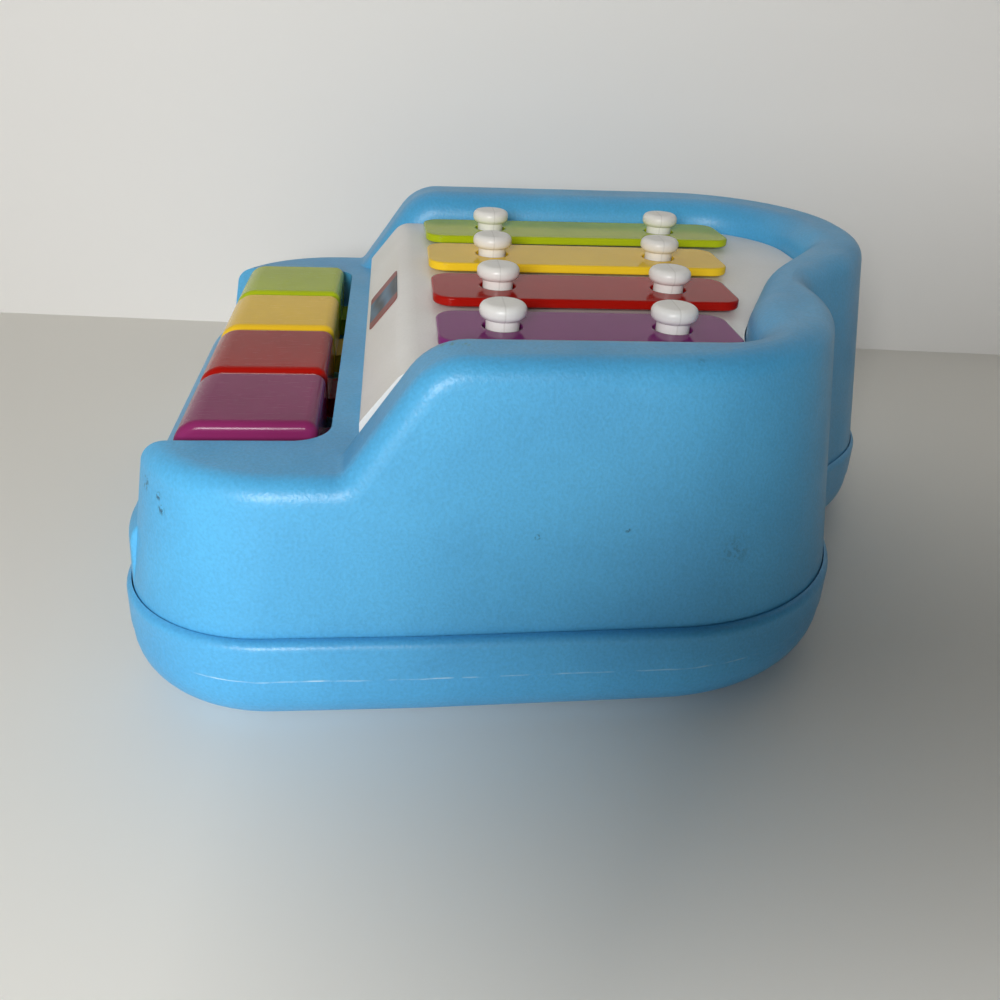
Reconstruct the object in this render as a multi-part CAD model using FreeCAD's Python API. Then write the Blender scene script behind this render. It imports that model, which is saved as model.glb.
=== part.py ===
import FreeCAD, Part
import math
import os
from FreeCAD import Vector

# A toddler's toy grand piano: four wide keys swing on one steel axle, and the tail of each key throws
# a hammer up at a painted steel sound bar. The bars lie loose on pegs in a white plate inside the rim.
# Millimetres. The origin is the middle of the underside, +X is the player's right, +Y the tail, +Z up.

# Allowances that all pieces share
overrun = 1.0            # how far a cut runs past the face that it opens
sliding_gap = 0.3        # between nested mouldings, and between moving pieces and what they pass
running_gap = 0.05       # radial room of a shaft in its bore
same_point = 1e-6

# Keys and sound bars, from the player's left
note_names = ("green", "yellow", "red", "purple")
note_spacing = 32.0

# Plan of the case wall where it enters the base pan
case_left = 88.2             # from the middle of the keyboard
case_right = 87.8
case_length = 200.5
front_right_radius = 31.0
front_left_radius = 36.0
side_bend_from_front = 63.0
side_bend_radius = 220.0
left_flare_angle = 1.0       # the left side spreads towards the tail
lobe_taper_angle = 1.7       # the right side draws in towards its rear corner
lobe_corner_radius = 48.0
lobe_setback = 36.0          # back edge of the right lobe, ahead of the tail
waist_from_middle = 24.0
waist_radius = 18.0
flank_angle = 45.0
tail_right_radius = 45.0
tail_left_radius = 46.5

# Base pan: a shallow tray whose skirt stands proud of the case wall
pan_height = 22.4
skirt_proud = 2.8
skirt_ends_in = 1.4          # the skirt stands less proud at the front and the back
parting_height = 13.4
parting_step = 0.3
skirt_lip_radius = 1.8
pan_bottom_radius = 11.0
pan_floor = 2.6
pan_wall = 2.5

# Upper case: heights, draft and rounding
wall = 2.4
case_lap = 8.0               # how far the case wall reaches down inside the skirt
side_draft = 1.0             # degrees that each wall leans in as it rises
front_draft = 9.0
back_draft = 6.5
lobe_corner_spread = 6.0     # how much the rear corners open out from the pan to the rim
tail_corner_spread = 12.0
deck_height = 56.5
rim_height = 80.8
rim_top_wall = 2.6
rim_inner_wall = 4.0
rim_outer_radius = 5.0
rim_inner_radius = 7.5
wall_lean_share = 0.3        # walls stand steeper than this, tops lie flatter
slope_setback = 47.5         # foot of the cheek slope, behind the front
slope_run = 17.33            # from the foot of the slope back to its crest
slope_foot_radius = 2.5
slope_crest_radius = 14.0

# Key well between the cheeks, and the strip that closes it at the back
well_width = 134.0
well_length = 44.7
well_corner_radius = 8.0
ledge_below_deck = 17.0
ledge_floor = 3.0
ledge_radius_share = 0.41     # of the ledge's rise above the pan
ledge_proud = 2.0            # the ledge under the keys leans out to stand this far ahead of the cheeks
ledge_end_radius = 1.0
strip_length = 5.9
window_width = 28.0

# Pocket inside the rim that holds the white plate
pocket_width = 134.0
pocket_lobe_from_tail = 66.5
pocket_lobe_radius = 13.0
pocket_bend_from_middle = 44.0
pocket_bend_from_tail = 63.8
pocket_bend_radius = 60.0
pocket_waist_from_middle = 6.0
pocket_waist_from_tail = 46.0
pocket_waist_radius = 60.0
pocket_tail_left_of_middle = 23.0
pocket_tail_from_tail = 24.0
pocket_tail_right_radius = 15.0
pocket_tail_left_radius = 27.0
flange_width = 6.0
flange_thickness = 3.0

# White plate with its rolled front
plate_below_rim = 8.8
plate_thickness = 2.4
plate_shoulder_share = 0.258 # the front stands upright for this share of its rise and then slants back
plate_shoulder_radius = 1.5
plate_slant_run = 9.3        # how far back the slant reaches
plate_roll_radius = 6.0
plate_roll_length = 14.0
plate_front_gap = 0.1
plate_tuck = 2.0             # the front edge hangs this far below the strip's top

# Sound bars, pegs and felts
bar_lengths = {"green": 91.6, "yellow": 81.4, "red": 75.0, "purple": 66.2}
bar_width = 22.5
bar_thickness = 2.2
bar_corner_radius = 5.0
bar_edge_radius = 0.5
bar_front_from_front = 67.0
bar_hole_radius = 4.5
bar_turns = {"green": 1.6, "yellow": 0, "red": 0, "purple": 0}   # degrees about its hammer
node_share = 0.215           # a free bar's still points, as a share of its length from each end
felt_thickness = 1.2
felt_radius = 6.5
peg_stem_radius = 3.7
peg_head_radius = 5.2
peg_head_height = 3.6
peg_head_round = 1.6
peg_head_above_bar = 1.8
peg_spigot_radius = 2.6
peg_spigot_length = 6.0
peg_boss_wall = 1.6

# Keys
key_width = 30.4
key_length = 30.0
key_nose_from_front = 12.0
key_top_above_ledge = 19.2
key_skirt = 11.7
key_wall = 2.0
key_nose_radius = 6.0
key_rear_radius = 2.6
key_edge_radius = 2.0
key_swing = 6.0              # degrees from rest to fully pressed

# Key levers and their axle
axle_from_front = 58.0
axle_height = 44.0
axle_radius = 1.5
lever_width = 14.0
lever_depth = 4.6
lever_tail_depth = 9.0       # deep enough for the tail to outweigh the cap
lever_below_strip = 6.1
lever_heel_reach = 17.0      # behind the axle
lever_side_play = 0.4
lever_root_length = 12.0
lever_boss_radius = 5.0
lever_tail_below_socket = 11.0
lever_corner_radius = 2.0
hammer_reach = 46.0          # from the axle back to the hammer
hammer_socket_depth = 8.0
hammer_socket_below_plate = 11.6
hammer_socket_length = 10.0
hammer_shank_radius = 2.5
hammer_head_radius = 4.5
hammer_neck_radius = 3.4
hammer_head_height = 6.5
hammer_crown = 2.5
hammer_stop_gap = 0.4        # a fully swung hammer stops this far under its bar
slot_room = 0.9

# Frame that carries the axle
frame_standoff = 5.0
frame_plate = 2.6
frame_half_width = 66.0
frame_front_reach = 17.0     # ahead of the axle
frame_rear_reach = 57.0      # behind the axle
upright_thickness = 3.0
upright_foot = 30.0
upright_crown_radius = 5.0
rest_rail_reach = 38.0       # behind the axle
rest_rail_thickness = 5.0
rest_felt_thickness = 2.5
rest_felt_inset = 3.0
clip_radius = 3.5
clip_thickness = 1.2
axle_overhang = 1.0

# Felt strip that stops the keys when they are pressed
stop_felt_width = 7.0
stop_felt_thickness = 2.4
stop_felt_behind_nose = 1.0
stop_felt_end_gap = 4.0

# Screws
screw_radius = 1.45
screw_head_radius = 2.9
screw_head_height = 2.0
screw_drive_width = 0.9
screw_drive_depth = 1.1
screw_drive_length = 3.6
screw_bite = 9.0
screw_boss_radius = 5.0
screw_post_radius = 4.2
screw_boss_top = 20.0
base_screw_recess = 8.0
post_inset = 12.6            # from the middle of each side wall
cheek_post_from_front = 34.0
rim_post_from_front = 103.0
tail_post_left_of_middle = 45.0
tail_post_from_tail = 12.0
lobe_post_from_middle = 50.0
lobe_post_from_back = 17.0
frame_screw_bite = 4.5
frame_screw_from_middle = 49.0
frame_screw_inset = 6.5
deck_screw_head_radius = 5.2
deck_screw_bite = 4.0
deck_screw_inset = 6.5
deck_screw_behind_roll = 9.0
deck_screw_left_from_tail = 67.0
deck_screw_lobe_inset = 13.0
deck_screw_tail_left_of_middle = 38.0
deck_boss_radius = 3.2
deck_boss_gap = 0.2
deck_lug_radius = 6.8

# Places worked out from the sizes above
front_y = -case_length / 2
tail_y = case_length / 2
clear_width = case_length + case_left + case_right
rim_from_deck = rim_height - deck_height
case_foot = pan_height - case_lap
well_rear = front_y + well_length
plate_front = well_rear + strip_length
ledge_height = deck_height - ledge_below_deck
ledge_radius = ledge_radius_share * (ledge_height - pan_height)
strip_under = deck_height - rim_top_wall
lever_neck_top = strip_under - lever_below_strip
plate_top = rim_height - plate_below_rim
plate_shoulder_height = deck_height + plate_shoulder_share * (plate_top - deck_height)
plate_under = plate_top - plate_thickness
hammer_socket_top = plate_under - hammer_socket_below_plate
lever_tail_height = hammer_socket_top - lever_tail_below_socket
flange_under = plate_under - flange_thickness
bar_front = front_y + bar_front_from_front
bar_under = plate_top + felt_thickness
bar_top = bar_under + bar_thickness
key_nose = front_y + key_nose_from_front
key_rear = key_nose + key_length
key_top = ledge_height + key_top_above_ledge
key_under = key_top - key_skirt
axle_y = front_y + axle_from_front
hammer_y = axle_y + hammer_reach
swing = math.radians(key_swing)
hammer_drop = bar_under - hammer_stop_gap - axle_height
hammer_top = axle_height + (hammer_drop - hammer_reach * math.sin(swing)) / math.cos(swing)
hammer_draw = hammer_reach * (1 - math.cos(swing)) + (hammer_top - axle_height) * math.sin(swing)
frame_under = pan_floor + frame_standoff
frame_top = frame_under + frame_plate
roll_end = plate_front + plate_roll_length
peg_head_under = bar_top + peg_head_above_bar
rest_felt_top = lever_tail_height - sliding_gap
rest_rail_top = rest_felt_top - rest_felt_thickness
left_post_x = post_inset - case_left
right_post_x = case_right - post_inset
post_places = (
    (left_post_x, front_y + cheek_post_from_front),
    (right_post_x, front_y + cheek_post_from_front),
    (left_post_x, front_y + rim_post_from_front),
    (right_post_x, front_y + rim_post_from_front),
    (-tail_post_left_of_middle, tail_y - tail_post_from_tail),
    (lobe_post_from_middle, tail_y - lobe_setback - lobe_post_from_back),
)
frame_front = axle_y - frame_front_reach
frame_rear = axle_y + frame_rear_reach
frame_screw_places = []
for side in (-1, 1):
    for row in (frame_front + frame_screw_inset, frame_rear - frame_screw_inset):
        frame_screw_places.append((side * frame_screw_from_middle, row))
deck_screw_x = pocket_width / 2 - deck_screw_inset
deck_screw_places = (
    (-deck_screw_x, roll_end + deck_screw_behind_roll),
    (deck_screw_x, roll_end + deck_screw_behind_roll),
    (-deck_screw_x, tail_y - deck_screw_left_from_tail),
    (deck_screw_x, tail_y - pocket_lobe_from_tail - deck_screw_lobe_inset),
    (-deck_screw_tail_left_of_middle, tail_y - pocket_tail_from_tail - deck_screw_inset),
)
note_places = {}
for number, note in enumerate(note_names):
    note_places[note] = (number - (len(note_names) - 1) / 2) * note_spacing

os.makedirs("parts", exist_ok=True)


def save(name, *solids):
    shape = solids[0] if len(solids) == 1 else Part.makeCompound(list(solids))
    shape.exportStep("parts/" + name + ".step")


def flat(u, v):
    return Vector(u, v, 0)


def upright(u, v):
    return Vector(0, u, v)


def rounded_edges(points, place, closed):
    """Lines joined by tangent arcs. Each point is its two coordinates and the radius of its corner."""
    turns = []
    last = len(points) - 1
    for index, (u, v, radius) in enumerate(points):
        here = flat(u, v)
        if radius == 0 or (not closed and index in (0, last)):
            turns.append((here, here, here))
            continue
        back = (flat(*points[index - 1][:2]) - here).normalize()
        ahead = (flat(*points[(index + 1) % len(points)][:2]) - here).normalize()
        half_angle = back.getAngle(ahead) / 2
        inward = (back + ahead).normalize()
        reach = radius / math.tan(half_angle)
        middle = here + inward * (radius / math.sin(half_angle) - radius)
        turns.append((here + back * reach, middle, here + ahead * reach))
    edges = []
    for index, (start, middle, end) in enumerate(turns):
        if start.distanceToPoint(end) > same_point:
            spots = [place(spot.x, spot.y) for spot in (start, middle, end)]
            edges.append(Part.Arc(*spots).toShape())
        if index == last and not closed:
            break
        following = turns[(index + 1) % len(turns)][0]
        if end.distanceToPoint(following) > same_point:
            edges.append(Part.LineSegment(place(end.x, end.y), place(following.x, following.y)).toShape())
    return edges


def plan_wire(grow, rise=0, ends_in=0):
    """The case's plan, moved out by grow but less at its ends, at a rise above the pan."""
    side_grow = grow - rise * math.tan(math.radians(side_draft))
    back_grow = grow - ends_in - rise * math.tan(math.radians(back_draft))
    front = front_y + ends_in - grow + rise * math.tan(math.radians(front_draft))
    climb_share = rise / (rim_height - pan_height)
    right = case_right + side_grow
    left = -case_left - side_grow
    bend_y = front_y + side_bend_from_front
    lobe_back = tail_y - lobe_setback + back_grow
    back = tail_y + back_grow
    lobe_x = right - (lobe_back - bend_y) * math.tan(math.radians(lobe_taper_angle))
    waist_x = waist_from_middle + back_grow * math.tan(math.radians(flank_angle) / 2)
    tail_right_x = waist_x - lobe_setback / math.tan(math.radians(flank_angle))
    tail_left_x = left - (back - bend_y) * math.tan(math.radians(left_flare_angle))
    wire = Part.Wire(rounded_edges([
        (right, front, front_right_radius + grow),
        (right, bend_y, side_bend_radius),
        (lobe_x, lobe_back, lobe_corner_radius + grow + lobe_corner_spread * climb_share),
        (waist_x, lobe_back, waist_radius - grow),
        (tail_right_x, back, tail_right_radius + grow + tail_corner_spread * climb_share),
        (tail_left_x, back, tail_left_radius + grow),
        (left, bend_y, side_bend_radius),
        (left, front, front_left_radius + grow),
    ], flat, True))
    wire.translate(Vector(0, 0, pan_height + rise))
    return wire


def pocket_wire(grow, front):
    """Plan of the pocket inside the rim, from a straight front to the tail, moved out by grow."""
    half = pocket_width / 2
    wire = Part.Wire(rounded_edges([
        (half, front, 0),
        (half, tail_y - pocket_lobe_from_tail, pocket_lobe_radius),
        (pocket_bend_from_middle, tail_y - pocket_bend_from_tail, pocket_bend_radius),
        (pocket_waist_from_middle, tail_y - pocket_waist_from_tail, pocket_waist_radius),
        (-pocket_tail_left_of_middle, tail_y - pocket_tail_from_tail, pocket_tail_right_radius),
        (-half, tail_y - pocket_tail_from_tail, pocket_tail_left_radius),
        (-half, front, 0),
    ], flat, True))
    return wire if grow == 0 else wire.makeOffset2D(grow)


def prism(wire, low, high):
    solid = Part.Face(wire).extrude(Vector(0, 0, high - low))
    solid.translate(Vector(0, 0, low - wire.BoundBox.ZMin))
    return solid


def side_prism(points, width, x=0):
    """A side profile of y, z and corner radius, run across the piano for a width about x."""
    face = Part.Face(Part.Wire(rounded_edges(points, upright, True)))
    face.translate(Vector(x - width / 2, 0, 0))
    return face.extrude(Vector(width, 0, 0))


def block(x_low, x_high, y_low, y_high, z_low, z_high):
    corner = Vector(x_low, y_low, z_low)
    return Part.makeBox(x_high - x_low, y_high - y_low, z_high - z_low, corner)


def post(x, y, low, high, radius):
    return Part.makeCylinder(radius, high - low, Vector(x, y, low))


def case_profile(drop, low):
    """Side view of the case top, lowered by drop: cheek deck, slope and rim."""
    climb = math.atan2(rim_from_deck, slope_run)
    foot = front_y + slope_setback + drop * math.tan(climb / 2)
    crest = foot + slope_run
    front = front_y - skirt_proud - overrun
    tail = tail_y + skirt_proud + overrun
    return [
        (front, low, 0),
        (front, deck_height - drop, 0),
        (foot, deck_height - drop, slope_foot_radius + drop),
        (crest, rim_height - drop, slope_crest_radius - drop),
        (tail, rim_height - drop, 0),
        (tail, low, 0),
    ]


def leaning(inset, high, ahead=0):
    """The case above the pan, up to a height: its walls lean in by their drafts, and it may lean ahead."""
    top = plan_wire(-inset, high - pan_height)
    top.translate(Vector(0, -ahead, 0))
    return Part.makeLoft([plan_wire(-inset), top], True, True)


def case_mass(inset, drop, low, radius):
    """The whole case as one rounded block, inset all round by inset and lowered by drop."""
    body = leaning(inset, rim_height)
    profile = side_prism(case_profile(drop, low - overrun), clear_width)
    body = body.common(profile)
    tops = []
    for edge in body.Edges:
        middle = edge.valueAt((edge.FirstParameter + edge.LastParameter) / 2)
        faces = body.ancestorsOfType(edge, Part.Face)
        if middle.z > deck_height - drop - same_point and len(faces) == 2:
            leans = [abs(face.normalAt(*face.Surface.parameter(middle)).z) for face in faces]
            if min(leans) < wall_lean_share < max(leans):
                tops.append(edge)
    return body.makeFillet(radius, tops).fuse(prism(plan_wire(-inset), low, pan_height))


def well_column(grow, low, high):
    """The key well's plan with rounded rear corners, open to the front."""
    half = well_width / 2 + grow
    front = front_y - skirt_proud - overrun
    rear = well_rear + grow
    corner = well_corner_radius + grow
    outline = [(half, front, 0), (half, rear, corner), (-half, rear, corner), (-half, front, 0)]
    return prism(Part.Wire(rounded_edges(outline, flat, True)), low, high)


def pocket_mouth():
    """What the pocket takes out of the case above its floor, with the rim's inner edge rolled over."""
    low = ledge_height
    high = rim_height + overrun
    open_front = front_y - case_length
    filled = side_prism(case_profile(0, low), clear_width)
    holed = filled.cut(prism(pocket_wire(0, open_front), low - overrun, high))
    inner_edges = []
    for edge in holed.Edges:
        middle = edge.valueAt((edge.FirstParameter + edge.LastParameter) / 2)
        inside = abs(middle.x) < case_right
        if inside and middle.y > front_y and middle.z > low + overrun:
            if edge.BoundBox.ZLength < rim_height - low - overrun:
                inner_edges.append(edge)
    rolled = holed.makeFillet(rim_inner_radius, inner_edges)
    mouth = filled.cut(rolled)
    half = case_length
    over_flange = block(-half, half, roll_end, tail_y, plate_under, high)
    over_strip = block(-half, half, front_y, roll_end, deck_height, high)
    return mouth.common(over_flange.fuse(over_strip))


def upper_case():
    """Blue top moulding: walls, cheeks, rounded rim, key well and the flange under the white plate."""
    high = rim_height + overrun
    well = well_column(0, case_foot - overrun, high)
    low_front = leaning(0, ledge_height, ledge_proud)
    ledge_edges = [edge for edge in low_front.Edges
                   if edge.BoundBox.ZMin > ledge_height - same_point * case_length]
    low_front = low_front.makeFillet(ledge_radius, ledge_edges)
    low_front = low_front.common(well_column(ledge_end_radius, case_foot, high))
    end_edges = []
    for edge in low_front.Edges:
        middle = edge.valueAt((edge.FirstParameter + edge.LastParameter) / 2)
        upright = edge.BoundBox.ZLength > ledge_end_radius
        if upright and middle.y < front_y + wall + ledge_radius and abs(middle.x) > well_width / 2:
            end_edges.append(edge)
    low_front = low_front.makeFillet(ledge_end_radius, end_edges)
    low_front = low_front.fuse(prism(plan_wire(0), case_foot, pan_height).common(well))
    body = case_mass(0, 0, case_foot, rim_outer_radius)
    body = body.cut(well).fuse(low_front)
    body = body.cut(pocket_mouth())
    hollow = case_mass(wall, rim_top_wall, case_foot - overrun, rim_outer_radius - rim_top_wall)
    hollow = hollow.cut(well_column(wall, ledge_height - ledge_floor, high))
    pocket_half = pocket_width / 2
    side = pocket_half + rim_inner_wall
    hollow = hollow.cut(prism(pocket_wire(rim_inner_wall, roll_end), flange_under, high))
    hollow = hollow.cut(block(-side, side, well_rear, roll_end, strip_under, high))
    posts = [post(x, y, screw_boss_top, high, screw_post_radius) for x, y in post_places]
    lugs = [post(x, y, flange_under, plate_under, deck_lug_radius) for x, y in deck_screw_places]
    body = body.cut(hollow)
    body = body.cut(prism(pocket_wire(-flange_width, roll_end), flange_under - overrun, high))
    body = body.fuse([hollow.common(Part.makeCompound(posts))] + lugs)
    opening = block(-pocket_half, pocket_half, plate_front, roll_end, strip_under - overrun, high)
    cuts = [opening]
    for x in note_places.values():
        window_half = window_width / 2
        cuts.append(block(x - window_half, x + window_half, well_rear - overrun, well_rear + wall + overrun,
                          ledge_height, strip_under))
    for x, y in post_places:
        cuts.append(post(x, y, screw_boss_top - overrun, screw_boss_top + screw_bite,
                         screw_radius + running_gap))
    for x, y in deck_screw_places:
        cuts.append(post(x, y, flange_under - overrun, high, deck_boss_radius + sliding_gap))
    return body.cut(cuts).removeSplitter()


def base_pan():
    """Blue tray with a rounded underside, a proud skirt, and bosses for the case and the key frame."""
    lower = prism(plan_wire(skirt_proud - parting_step, 0, skirt_ends_in), 0, pan_height - skirt_lip_radius)
    floor_edges = [edge for edge in lower.Edges if edge.BoundBox.ZMax < same_point * case_length]
    lower = lower.makeFillet(pan_bottom_radius, floor_edges)
    band = prism(plan_wire(skirt_proud, 0, skirt_ends_in), parting_height, pan_height)
    lip_edges = [edge for edge in band.Edges if edge.BoundBox.ZMin > pan_height - same_point * case_length]
    band = band.makeFillet(skirt_lip_radius, lip_edges)
    room = prism(plan_wire(sliding_gap), pan_floor, pan_height + overrun)
    room_edges = [edge for edge in room.Edges if edge.BoundBox.ZMax < pan_floor + same_point * case_length]
    room = room.makeFillet(pan_bottom_radius - pan_wall, room_edges)
    pan = lower.fuse(band).cut(room)
    bosses = [post(x, y, pan_floor / 2, screw_boss_top, screw_boss_radius) for x, y in post_places]
    bosses += [post(x, y, pan_floor / 2, frame_under, screw_post_radius) for x, y in frame_screw_places]
    pan = pan.fuse(bosses)
    cuts = []
    for x, y in post_places:
        cuts.append(post(x, y, -overrun, base_screw_recess, screw_head_radius + sliding_gap))
        cuts.append(post(x, y, 0, screw_boss_top + overrun, screw_radius + sliding_gap))
    for x, y in frame_screw_places:
        cuts.append(post(x, y, frame_under - frame_screw_bite, frame_under + overrun,
                         screw_radius + running_gap))
    return pan.cut(cuts).removeSplitter()


def deck_plate():
    """White plate inside the rim: a rolled front, sockets for the pegs and slots for the hammers."""
    front = plate_front + plate_front_gap
    low = deck_height - plate_tuck
    width = pocket_width - sliding_gap - sliding_gap
    ridge = front + plate_slant_run
    slant = math.atan2(plate_top - plate_shoulder_height, plate_slant_run)
    shoulder_drop = plate_thickness * math.tan(math.pi / 4 - slant / 2)
    ridge_shift = plate_thickness * math.tan(slant / 2)
    roll = side_prism([(front, low, 0), (front, plate_shoulder_height, plate_shoulder_radius),
                       (ridge, plate_top, plate_roll_radius), (roll_end, plate_top, 0), (roll_end, low, 0)],
                      width)
    under = side_prism([(front + plate_thickness, low - overrun, 0),
                        (front + plate_thickness, plate_shoulder_height - shoulder_drop, 0),
                        (ridge + ridge_shift, plate_under, plate_roll_radius - plate_thickness),
                        (roll_end + overrun, plate_under, 0), (roll_end + overrun, low - overrun, 0)],
                       width + overrun)
    plate = prism(pocket_wire(-sliding_gap, roll_end - sliding_gap), plate_under, plate_top)
    plate = plate.fuse(roll.cut(under))
    boss_low = plate_top - peg_spigot_length
    bosses = []
    cuts = []
    for note in note_names:
        for x, y in peg_places(note):
            bosses.append(post(x, y, boss_low, plate_top, peg_spigot_radius + peg_boss_wall))
            cuts.append(post(x, y, boss_low - overrun, plate_top + overrun, peg_spigot_radius + running_gap))
        slot_half = hammer_head_radius + slot_room
        x = note_places[note]
        cuts.append(block(x - slot_half, x + slot_half, hammer_y - slot_half - hammer_draw,
                          hammer_y + slot_half, plate_under - overrun, plate_top + overrun))
    for x, y in deck_screw_places:
        bosses.append(post(x, y, flange_under + deck_boss_gap, plate_top, deck_boss_radius))
        cuts.append(post(x, y, flange_under, flange_under + deck_screw_bite + deck_boss_gap,
                         screw_radius + running_gap))
    return plate.fuse(bosses).cut(cuts).removeSplitter()


def peg_places(note):
    """The two still points of a note's bar, where its pegs stand."""
    x = note_places[note]
    inset = bar_lengths[note] * node_share
    turn = math.radians(bar_turns[note])
    places = []
    for y in (bar_front + inset, bar_front + bar_lengths[note] - inset):
        reach = y - hammer_y
        places.append((x - reach * math.sin(turn), hammer_y + reach * math.cos(turn)))
    return places


def sound_bar(note):
    """Painted steel bar with rounded corners, bored over its two pegs."""
    x = note_places[note]
    half = bar_width / 2
    rear = bar_front + bar_lengths[note]
    corner = bar_corner_radius
    outline = [(x - half, bar_front, corner), (x + half, bar_front, corner),
               (x + half, rear, corner), (x - half, rear, corner)]
    bar = prism(Part.Wire(rounded_edges(outline, flat, True)), bar_under, bar_top)
    rims = [edge for edge in bar.Edges if edge.BoundBox.ZLength < bar_thickness / 2]
    bar = bar.makeFillet(bar_edge_radius, rims)
    bar.rotate(Vector(x, hammer_y, 0), Vector(0, 0, 1), bar_turns[note])
    low = bar_under - overrun
    high = bar_top + overrun
    return bar.cut([post(*spot, low, high, bar_hole_radius) for spot in peg_places(note)])


def bar_peg(x, y):
    """White mushroom peg: a round head that traps the bar, a stem, and a spigot pressed into the plate."""
    head = post(x, y, peg_head_under, peg_head_under + peg_head_height, peg_head_radius)
    rims = [edge for edge in head.Edges if edge.BoundBox.ZLength < peg_head_height / 2]
    head = head.makeFillet(peg_head_round, rims)
    stem = post(x, y, plate_top, peg_head_under + peg_head_height / 2, peg_stem_radius)
    spigot = post(x, y, plate_top - peg_spigot_length, plate_top, peg_spigot_radius)
    return head.fuse([stem, spigot])


def felt_washer(x, y):
    ring = post(x, y, plate_top, bar_under, felt_radius)
    return ring.cut(post(x, y, plate_top - overrun, bar_under + overrun, peg_stem_radius + sliding_gap))


def key(note):
    """One moulding: a hollow cap, and a lever that runs back over the axle to the hammer's socket."""
    x = note_places[note]
    cap = side_prism([(key_nose, key_under, 0), (key_nose, key_top, key_nose_radius),
                      (key_rear, key_top, key_rear_radius), (key_rear, key_under, 0)], key_width, x)
    side_edges = []
    for edge in cap.Edges:
        box = edge.BoundBox
        if box.XLength < same_point * case_length and box.ZMax > key_under + same_point * case_length:
            side_edges.append(edge)
    cap = cap.makeFillet(key_edge_radius, side_edges)
    roof = key_top - key_wall
    hollow = side_prism([(key_nose + key_wall, key_under - overrun, 0),
                         (key_nose + key_wall, roof, key_nose_radius - key_wall),
                         (key_rear - key_wall, roof, 0), (key_rear - key_wall, key_under - overrun, 0)],
                        key_width - key_wall - key_wall, x)
    bond = key_top - key_wall / 2
    root = key_rear - lever_root_length
    tail = hammer_y + hammer_socket_length / 2
    neck = tail - hammer_socket_length
    bend = lever_corner_radius
    boss_low = axle_height - lever_boss_radius
    lever = side_prism([
        (root, bond, 0),
        (root, key_under, 0),
        (key_rear, lever_neck_top - lever_depth, bend),
        (axle_y - lever_boss_radius, boss_low, bend),
        (axle_y + lever_boss_radius, boss_low, bend),
        (axle_y + lever_heel_reach, lever_tail_height, bend),
        (tail, lever_tail_height, bend),
        (tail, hammer_socket_top, 0),
        (neck, hammer_socket_top, 0),
        (neck, lever_tail_height + lever_tail_depth, bend),
        (key_rear - key_wall, lever_neck_top, 0),
        (key_rear - key_wall, bond, 0),
    ], lever_width, x)
    boss_length = note_spacing - upright_thickness - lever_side_play - lever_side_play
    along = Vector(1, 0, 0)
    boss = Part.makeCylinder(lever_boss_radius, boss_length,
                             Vector(x - boss_length / 2, axle_y, axle_height), along)
    bore = Part.makeCylinder(axle_radius + running_gap, note_spacing,
                             Vector(x - note_spacing / 2, axle_y, axle_height), along)
    socket = post(x, hammer_y, hammer_socket_top - hammer_socket_depth, hammer_socket_top + overrun,
                  hammer_shank_radius + running_gap)
    return cap.cut(hollow).fuse([lever, boss]).cut([bore, socket]).removeSplitter()


def hammer(note):
    """Nylon hammer: a crowned head on a neck, with its shank pushed into the lever's socket."""
    x = note_places[note]
    head_low = hammer_top - hammer_head_height
    head = post(x, hammer_y, head_low, hammer_top, hammer_head_radius)
    crown = [edge for edge in head.Edges if edge.BoundBox.ZMin > hammer_top - same_point * case_length]
    head = head.makeFillet(hammer_crown, crown)
    neck = post(x, hammer_y, hammer_socket_top, head_low, hammer_neck_radius)
    shank = post(x, hammer_y, hammer_socket_top - hammer_socket_depth, hammer_socket_top, hammer_shank_radius)
    return head.fuse([neck, shank])


def key_frame():
    """Moulded frame on the pan floor: uprights that carry the axle, and a rail under the key tails."""
    frame = block(-frame_half_width, frame_half_width, frame_front, frame_rear, frame_under, frame_top)
    crown = upright_crown_radius
    pieces = []
    for number in range(len(note_names) + 1):
        x = (number - len(note_names) / 2) * note_spacing
        pieces.append(side_prism([
            (axle_y - upright_foot / 2, frame_under, 0),
            (axle_y - crown, axle_height + crown, crown),
            (axle_y + crown, axle_height + crown, crown),
            (axle_y + upright_foot / 2, frame_under, 0),
        ], upright_thickness, x))
    rail_y = axle_y + rest_rail_reach
    rail_half = rest_rail_thickness / 2
    pieces.append(block(-frame_half_width, frame_half_width, rail_y - rail_half, rail_y + rail_half,
                        frame_under, rest_rail_top))
    cuts = [Part.makeCylinder(axle_radius + running_gap, case_length,
                              Vector(-case_length / 2, axle_y, axle_height), Vector(1, 0, 0))]
    for x, y in frame_screw_places:
        cuts.append(post(x, y, frame_under - overrun, frame_top + overrun, screw_radius + sliding_gap))
    return frame.fuse(pieces).cut(cuts).removeSplitter()


def cross_rod(radius, start, end):
    return Part.makeCylinder(radius, end - start, Vector(start, axle_y, axle_height), Vector(1, 0, 0))


def screw(x, y, seat, way, head_radius, length):
    """Cross-head screw: its head ends at seat, and its shank runs up or down, as way says."""
    shank = post(x, y, min(seat, seat + way * length), max(seat, seat + way * length), screw_radius)
    crown = seat - way * screw_head_height
    head = post(x, y, min(seat, crown), max(seat, crown), head_radius)
    rim = [edge for edge in head.Edges if abs(edge.BoundBox.Center.z - crown) < same_point * case_length]
    head = head.makeFillet(screw_head_height / 2, rim)
    slot_half = screw_drive_width / 2
    reach = screw_drive_length / 2
    deep = crown + way * screw_drive_depth
    past = crown - way * overrun
    low = min(deep, past)
    high = max(deep, past)
    drive = [block(x - slot_half, x + slot_half, y - reach, y + reach, low, high),
             block(x - reach, x + reach, y - slot_half, y + slot_half, low, high)]
    return head.cut(drive).fuse(shank)


save("upper_case", upper_case())
save("base_pan", base_pan())
save("deck_plate", deck_plate())
save("key_frame", key_frame())

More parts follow.
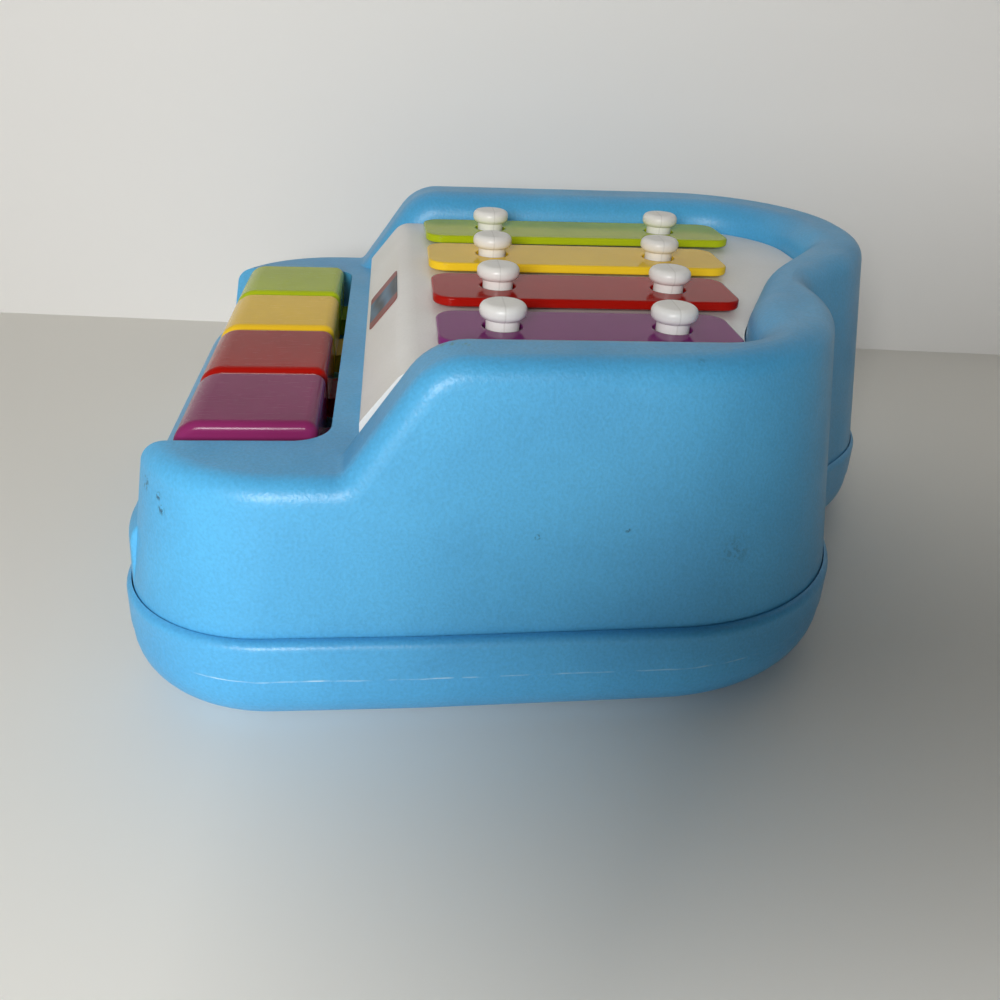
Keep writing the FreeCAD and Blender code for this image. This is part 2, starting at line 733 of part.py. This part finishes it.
for note in note_names:
    save("key_" + note, key(note))
    save("hammer_" + note, hammer(note))
    save("sound_bar_" + note, sound_bar(note))
    save("pegs_" + note, *[bar_peg(x, y) for x, y in peg_places(note)])
    save("felts_" + note, *[felt_washer(x, y) for x, y in peg_places(note)])

outer_upright = len(note_names) / 2 * note_spacing + upright_thickness / 2
axle_end = outer_upright + clip_thickness + axle_overhang
save("key_axle", cross_rod(axle_radius, -axle_end, axle_end))
clips = []
for start in (-outer_upright - clip_thickness, outer_upright):
    end = start + clip_thickness
    clip = cross_rod(clip_radius, start, end)
    clips.append(clip.cut(cross_rod(axle_radius + running_gap, start - overrun, end + overrun)))
save("axle_clips", *clips)

rail_y = axle_y + rest_rail_reach
rail_half = rest_rail_thickness / 2
felt_half = frame_half_width - rest_felt_inset
save("rest_felt", block(-felt_half, felt_half, rail_y - rail_half, rail_y + rail_half,
                        rest_rail_top, rest_felt_top))
stop_half = well_width / 2 - stop_felt_end_gap
stop_front = key_nose + stop_felt_behind_nose
save("stop_felt", block(-stop_half, stop_half, stop_front, stop_front + stop_felt_width,
                        ledge_height, ledge_height + stop_felt_thickness))

base_screw_length = screw_boss_top - base_screw_recess + screw_bite - overrun
save("base_screws", *[screw(x, y, base_screw_recess, 1, screw_head_radius, base_screw_length)
                      for x, y in post_places])
frame_screw_length = frame_plate + frame_screw_bite - sliding_gap
save("frame_screws", *[screw(x, y, frame_top, -1, screw_head_radius, frame_screw_length)
                       for x, y in frame_screw_places])
save("deck_screws", *[screw(x, y, flange_under, 1, deck_screw_head_radius, deck_screw_bite)
                      for x, y in deck_screw_places])
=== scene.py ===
import math

import bpy
from mathutils import Matrix, Vector


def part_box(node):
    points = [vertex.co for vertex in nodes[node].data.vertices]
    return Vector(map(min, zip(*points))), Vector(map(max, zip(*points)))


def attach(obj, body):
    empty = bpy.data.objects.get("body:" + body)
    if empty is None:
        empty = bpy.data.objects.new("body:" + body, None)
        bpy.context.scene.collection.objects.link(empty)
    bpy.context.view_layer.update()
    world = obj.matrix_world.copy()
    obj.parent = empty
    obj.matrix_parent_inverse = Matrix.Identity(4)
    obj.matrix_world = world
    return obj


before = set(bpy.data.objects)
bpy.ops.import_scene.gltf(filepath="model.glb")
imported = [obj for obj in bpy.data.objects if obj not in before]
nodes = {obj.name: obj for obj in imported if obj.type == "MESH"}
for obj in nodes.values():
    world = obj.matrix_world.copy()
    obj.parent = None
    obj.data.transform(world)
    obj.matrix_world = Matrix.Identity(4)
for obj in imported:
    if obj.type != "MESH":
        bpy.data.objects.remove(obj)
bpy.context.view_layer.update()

notes = ("green", "yellow", "red", "purple")

# Base pan: the blue tray that the toy stands on, with a skirt round the foot of the case.
# Injection-moulded polypropylene from a finely etched mould, which gives a satin skin with soft highlights.
# The two mould halves met along the middle of the skirt and left a thin flash line there, whitened partly by
# the flash itself and partly by a painted highlight.
pan_blue = "#56B2E5"
pan_blue_faded = "#4EA5D9"
# The grain is drawn coarser than the real etching, which is too fine to show.
etched_skin = {"roughness": 0.4, "grain_mm": 0.7, "grain_depth_mm": 0.09, "speckle": 0.07}
flash_and_highlight_white = "#C3E2F2"
flash_strength = 0.9
flash_height_mm = 13.4
flash_width_mm = 0.35
flash_waver_mm = 6
flash_waver_height_mm = 0.5
flash_break_mm = 7
flash_begins_mm = (-84, -79)
# Painted shade: the line's highlight fades away towards the right end, where the skirt lies out of the
# light.
flash_highlight_fades_mm = (-20, 70)
flash_shaded_share = 0.15
mix_share, mix_first, mix_second, mix_result = 0, 6, 7, 2


def linear(colour):
    """An sRGB hex colour as the linear colour that a shader socket takes."""
    shares = [int(colour[at:at + 2], 16) / 255 for at in (1, 3, 5)]
    levels = [share / 12.92 if share <= 0.04045 else ((share + 0.055) / 1.055) ** 2.4 for share in shares]
    return levels + [1.0]


def new_material(name):
    """A new material and its shader."""
    material = bpy.data.materials.new(name)
    material.use_nodes = True
    return material, material.node_tree.nodes["Principled BSDF"]


def feed(material, node, links):
    """Feeds inputs of a node, each from an output of another node."""
    for name, (source, output) in links.items():
        material.node_tree.links.new(source.outputs[output], node.inputs[name])


def add_node(material, kind, settings, links):
    """Adds a node. A setting is one of its options or inputs, and a link feeds an input from an output."""
    node = material.node_tree.nodes.new("ShaderNode" + kind)
    for name, value in settings.items():
        if isinstance(name, str) and hasattr(node, name):
            setattr(node, name, value)
        else:
            node.inputs[name].default_value = value
    feed(material, node, links)
    return node


def dress(name, material):
    """Gives a CAD node its material."""
    nodes[name].material_slots[0].material = material


def moulded_plastic(name, colour, faded, roughness, grain_mm, grain_depth_mm, speckle):
    """A moulded plastic skin: slow fading, smudges that change its gloss, and the mould's speckled grain."""
    fading_mm = 38
    smudge_mm = 11
    smudge_polish = 0.05
    smudge_dulling = 0.07
    material, shader = new_material(name)
    place = add_node(material, "TexCoord", {}, {})
    fading = add_node(material, "TexNoise", {"Scale": 1000 / fading_mm, "Detail": 3.0},
                      {"Vector": (place, "Object")})
    fade = add_node(material, "MapRange", {"From Min": 0.35, "From Max": 0.7}, {"Value": (fading, "Fac")})
    tone = add_node(material, "Mix",
                    {"data_type": "RGBA", mix_first: linear(colour), mix_second: linear(faded)},
                    {mix_share: (fade, 0)})
    smudges = add_node(material, "TexNoise", {"Scale": 1000 / smudge_mm, "Detail": 4.0, "Roughness": 0.6},
                       {"Vector": (place, "Object")})
    gloss = add_node(material, "MapRange",
                     {"From Min": 0.3, "From Max": 0.72, "To Min": roughness - smudge_polish,
                      "To Max": roughness + smudge_dulling},
                     {"Value": (smudges, "Fac")})
    grain = add_node(material, "TexNoise", {"Scale": 1000 / grain_mm, "Detail": 2.0},
                     {"Vector": (place, "Object")})
    bump = add_node(material, "Bump", {"Strength": 1.0, "Distance": grain_depth_mm / 1000},
                    {"Height": (grain, "Fac")})
    specks = add_node(material, "MapRange", {"From Min": 0.3, "From Max": 0.7, "To Min": 1 - speckle,
                                             "To Max": 1 + speckle}, {"Value": (grain, "Fac")})
    tone = add_node(material, "Mix", {"data_type": "RGBA", "blend_type": "MULTIPLY", mix_share: 1.0},
                    {mix_first: (tone, mix_result), mix_second: (specks, 0)})
    feed(material, shader, {"Base Color": (tone, mix_result), "Roughness": (gloss, 0), "Normal": (bump, 0)})
    return material, shader, place, tone


pan_plastic, pan_shader, pan_place, pan_tone = moulded_plastic(
    "moulded blue polypropylene with flash line", pan_blue, pan_blue_faded, **etched_skin)
pan_axes = add_node(pan_plastic, "SeparateXYZ", {}, {"Vector": (pan_place, "Object")})
flash_waver = add_node(pan_plastic, "TexNoise", {"Scale": 1000 / flash_waver_mm},
                       {"Vector": (pan_place, "Object")})
flash_level = add_node(pan_plastic, "MapRange", {"To Min": (flash_height_mm - flash_waver_height_mm) / 1000,
                                                 "To Max": (flash_height_mm + flash_waver_height_mm) / 1000},
                       {"Value": (flash_waver, "Fac")})
flash_offset = add_node(pan_plastic, "Math", {"operation": "SUBTRACT"},
                        {0: (pan_axes, "Z"), 1: (flash_level, 0)})
flash_distance = add_node(pan_plastic, "Math", {"operation": "ABSOLUTE"}, {0: (flash_offset, 0)})
flash_edge = add_node(pan_plastic, "MapRange", {"From Min": 0.0, "From Max": flash_width_mm / 1000,
                                                "To Min": flash_strength, "To Max": 0.0},
                      {"Value": (flash_distance, 0)})
flash_breaks = add_node(pan_plastic, "TexNoise", {"Scale": 1000 / flash_break_mm, "Detail": 4.0},
                        {"Vector": (pan_place, "Object")})
flash_left = add_node(pan_plastic, "MapRange", {"From Min": 0.42, "From Max": 0.6},
                      {"Value": (flash_breaks, "Fac")})
flash_begins = add_node(pan_plastic, "MapRange", {"From Min": flash_begins_mm[0] / 1000,
                                                  "From Max": flash_begins_mm[1] / 1000},
                        {"Value": (pan_axes, "Y")})
# The line's painted highlight fades into painted shade towards the right end of the skirt.
flash_highlight_fades = add_node(pan_plastic, "MapRange", {"From Min": flash_highlight_fades_mm[0] / 1000,
                                                 "From Max": flash_highlight_fades_mm[1] / 1000,
                                                 "To Min": 1.0, "To Max": flash_shaded_share},
                       {"Value": (pan_axes, "Y")})
flash_reach = add_node(pan_plastic, "Math", {"operation": "MULTIPLY"},
                       {0: (flash_begins, 0), 1: (flash_highlight_fades, 0)})
flash_broken = add_node(pan_plastic, "Math", {"operation": "MULTIPLY"},
                        {0: (flash_reach, 0), 1: (flash_left, 0)})
flash_share = add_node(pan_plastic, "Math", {"operation": "MULTIPLY"},
                       {0: (flash_edge, 0), 1: (flash_broken, 0)})
flash_tone = add_node(pan_plastic, "Mix", {"data_type": "RGBA", mix_second: linear(flash_and_highlight_white)},
                      {mix_share: (flash_share, 0), mix_first: (pan_tone, mix_result)})
feed(pan_plastic, pan_shader, {"Base Color": (flash_tone, mix_result)})
dress("base_pan", pan_plastic)

# Key frame: a grey moulding screwed to bosses on the pan floor, with five uprights that carry the key axle.
# Plain ABS without any finish, so it is duller than the case, and four zinc-plated screws hold it down.
frame_plastic = moulded_plastic("moulded grey ABS", "#54585B", "#4A4E51",
                                roughness=0.5, grain_mm=0.7, grain_depth_mm=0.05, speckle=0.05)[0]
dress("key_frame", frame_plastic)


def plated_steel(name, colour, roughness, scratch_mm):
    """Steel with a metal's shine: cloudy patches, and scratches drawn coarser than the real ones."""
    cloud_colour = "#8E9092"
    cloud_mm = 2.5
    cloud_polish = 0.08
    cloud_dulling = 0.1
    scratch_depth_mm = 0.01
    material, shader = new_material(name)
    shader.inputs["Metallic"].default_value = 1.0
    place = add_node(material, "TexCoord", {}, {})
    cloud = add_node(material, "TexNoise", {"Scale": 1000 / cloud_mm, "Detail": 3.0},
                     {"Vector": (place, "Object")})
    tone = add_node(material, "Mix", {"data_type": "RGBA", mix_first: linear(colour),
                                      mix_second: linear(cloud_colour)}, {mix_share: (cloud, "Fac")})
    gloss = add_node(material, "MapRange",
                     {"To Min": roughness - cloud_polish, "To Max": roughness + cloud_dulling},
                     {"Value": (cloud, "Fac")})
    scratch = add_node(material, "TexNoise", {"Scale": 1000 / scratch_mm, "Detail": 2.0},
                       {"Vector": (place, "Object")})
    bump = add_node(material, "Bump", {"Strength": 1.0, "Distance": scratch_depth_mm / 1000},
                    {"Height": (scratch, "Fac")})
    feed(material, shader, {"Base Color": (tone, mix_result), "Roughness": (gloss, 0), "Normal": (bump, 0)})
    return material


screw_steel = plated_steel("zinc-plated screw steel", "#BDBFC0", roughness=0.34, scratch_mm=0.3)
dress("frame_screws", screw_steel)

# Key axle: a ground steel rod through the uprights and all the key levers, with a push-on clip at each end.
# The rail behind it is faced with pressed wool felt, on which the key tails rest without a sound.
axle_steel = plated_steel("ground steel rod", "#C6C8C9", roughness=0.22, scratch_mm=0.2)
dress("key_axle", axle_steel)
dress("axle_clips", screw_steel)


def pressed_felt(name, colour, shade):
    """Pressed wool felt: hardly any gloss, and matted fibres, drawn coarser than the real ones."""
    fibre_mm = 0.5
    fibre_depth_mm = 0.2
    material, shader = new_material(name)
    shader.inputs["Roughness"].default_value = 0.95
    shader.inputs["Sheen Weight"].default_value = 0.3
    place = add_node(material, "TexCoord", {}, {})
    fibres = add_node(material, "TexNoise", {"Scale": 1000 / fibre_mm, "Detail": 4.0, "Distortion": 1.2},
                      {"Vector": (place, "Object")})
    tone = add_node(material, "Mix",
                    {"data_type": "RGBA", mix_first: linear(shade), mix_second: linear(colour)},
                    {mix_share: (fibres, "Fac")})
    bump = add_node(material, "Bump", {"Strength": 1.0, "Distance": fibre_depth_mm / 1000},
                    {"Height": (fibres, "Fac")})
    feed(material, shader, {"Base Color": (tone, mix_result), "Normal": (bump, 0)})
    return material


wool_felt = pressed_felt("pressed wool felt", "#C9C3B3", "#A39C8B")
dress("rest_felt", wool_felt)

# Keys: wide hollow caps, each moulded in one with the lever that runs back over the axle to its hammer.
# Polished ABS in the colour of its bar: a mirror-like skin, dulled in places by small hands and scratched.
# The scratches are drawn coarser than the real ones, which are too fine to show.
key_colours = {"green": ("#B4C71E", "#A9BB1C"), "yellow": ("#F8CE30", "#EFC229"),
               "red": ("#AA150D", "#9C120B"), "purple": ("#8C2C62", "#802758")}
key_specular = 0.14
key_scratch_mm = 0.3
key_scratch_turn = 0.6
key_scratch_stretch = 0.06
key_scratch_dulling = 0.2
for note in notes:
    key_plastic, key_shader, key_place = moulded_plastic(
        "polished " + note + " ABS", *key_colours[note],
        roughness=0.17, grain_mm=2.5, grain_depth_mm=0.012, speckle=0.015)[:3]
    key_shader.inputs["Specular IOR Level"].default_value = key_specular
    scratch_place = add_node(key_plastic, "Mapping", {"Rotation": (0.0, 0.0, key_scratch_turn),
                                                      "Scale": (1.0, key_scratch_stretch, 1.0)},
                             {"Vector": (key_place, "Object")})
    scratches = add_node(key_plastic, "TexNoise", {"Scale": 1000 / key_scratch_mm, "Detail": 2.0},
                         {"Vector": (scratch_place, 0)})
    scratched = add_node(key_plastic, "MapRange",
                         {"From Min": 0.6, "From Max": 0.75, "To Max": key_scratch_dulling},
                         {"Value": (scratches, "Fac")})
    key_gloss = key_shader.inputs["Roughness"].links[0].from_node
    key_rough = add_node(key_plastic, "Math", {"operation": "ADD"}, {0: (key_gloss, 0), 1: (scratched, 0)})
    feed(key_plastic, key_shader, {"Roughness": (key_rough, 0)})
    dress("key_" + note, key_plastic)

# Hammers: one nylon hammer pushed into the socket at the tail of each key lever.
# Natural nylon is a slightly yellow white with a waxy, half-dull skin.
hammer_nylon = moulded_plastic("natural nylon", "#E3DECB", "#D9D2BA",
                               roughness=0.42, grain_mm=0.6, grain_depth_mm=0.02, speckle=0.03)[0]
for note in notes:
    dress("hammer_" + note, hammer_nylon)

# Upper case: the blue top moulding with its cheeks, sloped rim, key well and the strip behind the keys.
# The same polypropylene as the pan. Play has left a few dark scuffs, a smudge and a greenish stain on it.
# Each mark has a place, a size, a colour and a strength, and a fine noise breaks it into crumbs.
case_blue = "#54B0E2"
case_blue_faded = "#4CA3D5"
case_marks_mm = (
    ((71.8, -91.9, 49.3), 1.9, "#1C3E50", 0.9), ((76.5, -88.6, 49.0), 1.3, "#1C3E50", 0.9),
    ((77.6, -88.1, 46.3), 1.4, "#1C3E50", 0.8), ((83.6, 27.8, 39.6), 4.5, "#3A789C", 0.5),
    ((73.8, -33.3, 79.7), 1.3, "#5A8C84", 0.7), ((75.2, -31.0, 80.3), 1.4, "#5A8C84", 0.7),
    ((76.5, -28.8, 80.7), 1.2, "#5A8C84", 0.6), ((81.6, 15.1, 79.1), 1.5, "#2F6886", 0.8),
    ((80.8, 19.3, 78.9), 1.3, "#2F6886", 0.8), ((86.2, 3.8, 46.0), 0.8, "#27566F", 0.9),
    ((86.7, -14.3, 44.8), 0.8, "#27566F", 0.9),
)
mark_crumb_mm = 1.1
mark_core_share = 0.35
case_plastic, case_shader, case_place, case_tone = moulded_plastic(
    "moulded blue polypropylene", case_blue, case_blue_faded, **etched_skin)
mark_waver = add_node(case_plastic, "TexNoise",
                      {"Scale": 1000 / mark_crumb_mm, "Detail": 5.0, "Roughness": 0.65},
                      {"Vector": (case_place, "Object")})
mark_crumbs = add_node(case_plastic, "MapRange", {"From Min": 0.48, "From Max": 0.56},
                       {"Value": (mark_waver, "Fac")})
for centre_mm, size_mm, mark_colour, strength in case_marks_mm:
    mark_centre = [part / 1000 for part in centre_mm]
    mark_distance = add_node(case_plastic, "VectorMath", {"operation": "DISTANCE", 1: mark_centre},
                             {0: (case_place, "Object")})
    mark_reach = add_node(case_plastic, "MapRange", {"From Min": mark_core_share * size_mm / 1000,
                                                     "From Max": size_mm / 1000, "To Min": strength,
                                                     "To Max": 0.0},
                          {"Value": (mark_distance, "Value")})
    mark_share = add_node(case_plastic, "Math", {"operation": "MULTIPLY"},
                          {0: (mark_reach, 0), 1: (mark_crumbs, 0)})
    case_tone = add_node(case_plastic, "Mix", {"data_type": "RGBA", mix_second: linear(mark_colour)},
                         {mix_share: (mark_share, 0), mix_first: (case_tone, mix_result)})
feed(case_plastic, case_shader, {"Base Color": (case_tone, mix_result)})
dress("upper_case", case_plastic)
dress("stop_felt", wool_felt)

# White plate: the rolled plate inside the rim that carries the bars, screwed from below through five lugs.
# White polypropylene with a satin skin, slightly and unevenly yellowed.
plate_plastic = moulded_plastic("moulded white polypropylene", "#F5F3EF", "#EDEAE4",
                                roughness=0.38, grain_mm=0.7, grain_depth_mm=0.05, speckle=0.02)[0]
dress("deck_plate", plate_plastic)
dress("deck_screws", screw_steel)

# Sticker: a plain coloured film with round corners on the slant of the white plate.
# Printed vinyl film, cut as a very thin box and laid on the slant: red ends, and blue-grey waves between.
sticker_mm = (27.0, 11.0, 0.12)
sticker_corner_mm = 1.4
sticker_corner_segments = 6
sticker_centre_mm = (-2.2, -45.05, 66.08)
sticker_slant = math.radians(51.04)
sticker_float_mm = 0.1
sticker_blues = ("#14293A", "#46708F")
sticker_red = "#8F3B34"
sticker_red_from_mm = (7.7, 8.3)
sticker_wave_mm = 16
sticker_rubbed = "#DAD6CE"
sticker_rub_mm = 9
sticker_specular = 0.15
bpy.ops.object.select_all(action="DESELECT")
bpy.ops.mesh.primitive_cube_add(size=1.0, scale=[length / 1000 for length in sticker_mm])
sticker = bpy.context.object
sticker.name = "sticker"
bpy.ops.object.transform_apply(location=False, rotation=False, scale=True)
bpy.ops.object.mode_set(mode="EDIT")
bpy.ops.mesh.select_mode(type="EDGE")
bpy.ops.mesh.select_all(action="DESELECT")
bpy.ops.object.mode_set(mode="OBJECT")
for edge in sticker.data.edges:
    ends = [sticker.data.vertices[at].co for at in edge.vertices]
    edge.select = abs(ends[0].z - ends[1].z) > sticker_mm[2] / 2000
bpy.ops.object.mode_set(mode="EDIT")
bpy.ops.mesh.bevel(offset=sticker_corner_mm / 1000, segments=sticker_corner_segments)
bpy.ops.object.mode_set(mode="OBJECT")
sticker.rotation_euler = (sticker_slant, 0.0, 0.0)
sticker_lift_mm = (0.0, -math.sin(sticker_slant) * sticker_float_mm,
                   math.cos(sticker_slant) * sticker_float_mm)
sticker.location = [(middle + lift) / 1000 for middle, lift in zip(sticker_centre_mm, sticker_lift_mm)]
bpy.ops.object.transform_apply(location=True, rotation=True, scale=False)
sticker_film, sticker_shader = new_material("printed vinyl film")
sticker_shader.inputs["Specular IOR Level"].default_value = sticker_specular
sticker_place = add_node(sticker_film, "TexCoord", {}, {})
sticker_axes = add_node(sticker_film, "SeparateXYZ", {}, {"Vector": (sticker_place, "Object")})
sticker_waves = add_node(sticker_film, "TexWave",
                         {"Scale": 1000 / sticker_wave_mm, "Distortion": 3.0, "Detail": 1.0,
                          "bands_direction": "Z"},
                         {"Vector": (sticker_place, "Object")})
sticker_middle = add_node(sticker_film, "Mix", {"data_type": "RGBA", mix_first: linear(sticker_blues[0]),
                                                mix_second: linear(sticker_blues[1])},
                          {mix_share: (sticker_waves, "Fac")})
sticker_across = add_node(sticker_film, "Math", {"operation": "SUBTRACT", 1: sticker_centre_mm[0] / 1000},
                          {0: (sticker_axes, "X")})
sticker_away = add_node(sticker_film, "Math", {"operation": "ABSOLUTE"}, {0: (sticker_across, 0)})
sticker_end = add_node(sticker_film, "MapRange", {"From Min": sticker_red_from_mm[0] / 1000,
                                                  "From Max": sticker_red_from_mm[1] / 1000},
                       {"Value": (sticker_away, 0)})
sticker_tone = add_node(sticker_film, "Mix", {"data_type": "RGBA", mix_second: linear(sticker_red)},
                        {mix_share: (sticker_end, 0), mix_first: (sticker_middle, mix_result)})
sticker_wear = add_node(sticker_film, "TexNoise", {"Scale": 1000 / sticker_rub_mm, "Detail": 2.0},
                        {"Vector": (sticker_place, "Object")})
sticker_rub = add_node(sticker_film, "MapRange", {"From Min": 0.4, "From Max": 0.75, "To Max": 0.16},
                       {"Value": (sticker_wear, "Fac")})
sticker_worn = add_node(sticker_film, "Mix", {"data_type": "RGBA", mix_second: linear(sticker_rubbed)},
                        {mix_share: (sticker_rub, 0), mix_first: (sticker_tone, mix_result)})
sticker_gloss = add_node(sticker_film, "MapRange", {"To Min": 0.25, "To Max": 0.5},
                         {"Value": (sticker_wear, "Fac")})
feed(sticker_film, sticker_shader,
     {"Base Color": (sticker_worn, mix_result), "Roughness": (sticker_gloss, 0)})
sticker.data.materials.append(sticker_film)
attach(sticker, "case")

# Felt washers: a ring of pressed wool felt under each end of a bar, round its peg, so that the bar can ring.
# The same felt as on the rails.
for note in notes:
    dress("felts_" + note, wool_felt)

# Sound bars: four steel bars, long to short, bored at their still points and hung loose on the pegs.
# Sprayed enamel over punched steel: a hard gloss with slight orange peel.
# The enamel is thick enough to round the edges, which the material draws.
bar_colours = {"green": ("#B6C61A", "#ABBA18"), "yellow": ("#FBD230", "#F2C628"),
               "red": ("#AC160D", "#9E130B"), "purple": ("#853077", "#7A2B6D")}
bar_specular = 0.11
bar_edge_mm = 0.6
for note in notes:
    bar_enamel, bar_shader = moulded_plastic(
        "sprayed " + note + " enamel", *bar_colours[note],
        roughness=0.1, grain_mm=1.8, grain_depth_mm=0.004, speckle=0.01)[:2]
    bar_shader.inputs["Specular IOR Level"].default_value = bar_specular
    bar_bump = bar_shader.inputs["Normal"].links[0].from_node
    bar_edge = add_node(bar_enamel, "Bevel", {"samples": 6, "Radius": bar_edge_mm / 1000}, {})
    feed(bar_enamel, bar_bump, {"Normal": (bar_edge, 0)})
    dress("sound_bar_" + note, bar_enamel)

# Pegs: white mushroom pegs that trap the bars, each pressed into a socket in the plate.
# White acetal from a two-part mould, whose split left a fine line over each head.
# The line is drawn coarser than the real one, which is too fine to show.
split_colour = "#9C978C"
split_strength = 0.28
split_line_mm = 0.25
for note in notes:
    peg_plastic, peg_shader, peg_place, peg_tone = moulded_plastic(
        "moulded white acetal " + note, "#F2F0EB", "#EBE8E1",
        roughness=0.34, grain_mm=0.7, grain_depth_mm=0.03, speckle=0.015)
    peg_low, peg_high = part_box("pegs_" + note)
    peg_radius = (peg_high[0] - peg_low[0]) / 2
    peg_axes = add_node(peg_plastic, "SeparateXYZ", {}, {"Vector": (peg_place, "Object")})
    for peg_y in (peg_low[1] + peg_radius, peg_high[1] - peg_radius):
        split_offset = add_node(peg_plastic, "Math", {"operation": "SUBTRACT", 1: peg_y},
                                {0: (peg_axes, "Y")})
        split_distance = add_node(peg_plastic, "Math", {"operation": "ABSOLUTE"}, {0: (split_offset, 0)})
        split_share = add_node(peg_plastic, "MapRange", {"From Min": 0.0, "From Max": split_line_mm / 1000,
                                                         "To Min": split_strength, "To Max": 0.0},
                               {"Value": (split_distance, 0)})
        peg_tone = add_node(peg_plastic, "Mix", {"data_type": "RGBA", mix_second: linear(split_colour)},
                            {mix_share: (split_share, 0), mix_first: (peg_tone, mix_result)})
    feed(peg_plastic, peg_shader, {"Base Color": (peg_tone, mix_result)})
    dress("pegs_" + note, peg_plastic)

# Case screws: six screws, sunk in recesses in the underside, that hold the pan to the case.
# The same zinc-plated steel as the screws inside.
dress("base_screws", screw_steel)

# Floor and wall: a plain pale table top, and the painted wall a hand's breadth behind the toy.
# Matt paint. The wall's paint shows only on the room's side, so from behind one looks straight through it.
floor_colour = "#F3F0E8"
floor_size = 6.0
floor_place = (0.0, 0.0, -0.0002)
wall_colour = "#F3F1ED"
wall_size = 3.0
wall_place = (-0.178, 0.0, 1.49)
wall_turn = math.radians(-5.0)
upright_turn = math.radians(90)
bpy.ops.object.select_all(action="DESELECT")
bpy.ops.mesh.primitive_plane_add(size=floor_size, location=floor_place)
floor = bpy.context.object
floor.name = "table_top"
floor_paint, floor_shader = new_material("pale matt table top")
floor_shader.inputs["Base Color"].default_value = linear(floor_colour)
floor_shader.inputs["Roughness"].default_value = 0.55
floor.data.materials.append(floor_paint)
bpy.ops.mesh.primitive_plane_add(size=wall_size, location=wall_place,
                                 rotation=(0.0, upright_turn, wall_turn))
wall = bpy.context.object
wall.name = "painted_wall"
wall_paint, wall_shader = new_material("matt wall paint")
wall_shader.inputs["Base Color"].default_value = linear(wall_colour)
wall_shader.inputs["Roughness"].default_value = 0.7
wall_side = add_node(wall_paint, "NewGeometry", {}, {})
wall_clear = add_node(wall_paint, "BsdfTransparent", {}, {})
wall_mix = add_node(wall_paint, "MixShader", {},
                    {0: (wall_side, "Backfacing"), 1: (wall_shader, 0), 2: (wall_clear, 0)})
feed(wall_paint, wall_paint.node_tree.nodes["Material Output"], {"Surface": (wall_mix, 0)})
wall.data.materials.append(wall_paint)

# Light: a soft lamp behind the camera's left shoulder, low as a window, and a pale room to fill the shadows.
# A card at the camera's right does nothing but cast a shadow: it shades the near right corner.
# The room is a little brighter low down and towards the keys.
lamp_size = 0.18
lamp_watts = 3.5
lamp_place = Vector((0.60, -0.18, 0.265))
lamp_target = Vector((0.0, -0.05, 0.04))
card_place = (0.27, 0.16, 0.1085)
card_scale = (0.069, 0.486, 1.0)
room_colour = "#F0EFEC"
room_slant = (-0.04, -0.17, -0.16)
room_level = 0.215
lamp_data = bpy.data.lights.new("window", "AREA")
lamp_data.shape = "RECTANGLE"
lamp_data.size = lamp_size
lamp_data.size_y = lamp_size
lamp_data.energy = lamp_watts
lamp = bpy.data.objects.new("window", lamp_data)
bpy.context.scene.collection.objects.link(lamp)
lamp.location = lamp_place
lamp.rotation_euler = (lamp_target - lamp_place).to_track_quat("-Z", "Y").to_euler()
lamp.visible_camera = False
bpy.ops.object.select_all(action="DESELECT")
bpy.ops.mesh.primitive_plane_add(size=1.0, location=card_place, rotation=(0.0, upright_turn, 0.0))
card = bpy.context.object
card.name = "shade_card"
card.scale = card_scale
card.visible_camera = False
card.visible_glossy = False
card.visible_diffuse = False
card.visible_transmission = False
world = bpy.data.worlds.new("pale room")
bpy.context.scene.world = world
world.use_nodes = True
world_place = add_node(world, "TexCoord", {}, {})
world_slant = add_node(world, "VectorMath", {"operation": "DOT_PRODUCT", 1: room_slant},
                       {0: (world_place, "Generated")})
world_level = add_node(world, "Math", {"operation": "ADD", 1: room_level}, {0: (world_slant, "Value")})
world_light = world.node_tree.nodes["Background"]
world_light.inputs["Color"].default_value = linear(room_colour)
feed(world, world_light, {"Strength": (world_level, 0)})

# Camera: held low at the right of the toy, as in the photograph.
# Its three directions are the picture's right, the picture's up, and back towards the viewer.
camera_place = (0.25641, -0.04225, 0.14193)
camera_right = Vector((0.093593, 0.994543, 0.046062))
camera_up = Vector((-0.463632, 0.002595, 0.886024))
camera_back = Vector((0.881071, -0.104281, 0.461346))
camera_data = bpy.data.cameras.new("camera")
camera_data.lens = 36.0
camera_data.sensor_width = 36.0
camera_data.clip_start = 0.01
camera = bpy.data.objects.new("camera", camera_data)
bpy.context.scene.collection.objects.link(camera)
camera.rotation_euler = Matrix((camera_right, camera_up, camera_back)).transposed().to_euler()
camera.location = camera_place
bpy.context.scene.camera = camera
bpy.context.scene.view_settings.view_transform = "Standard"
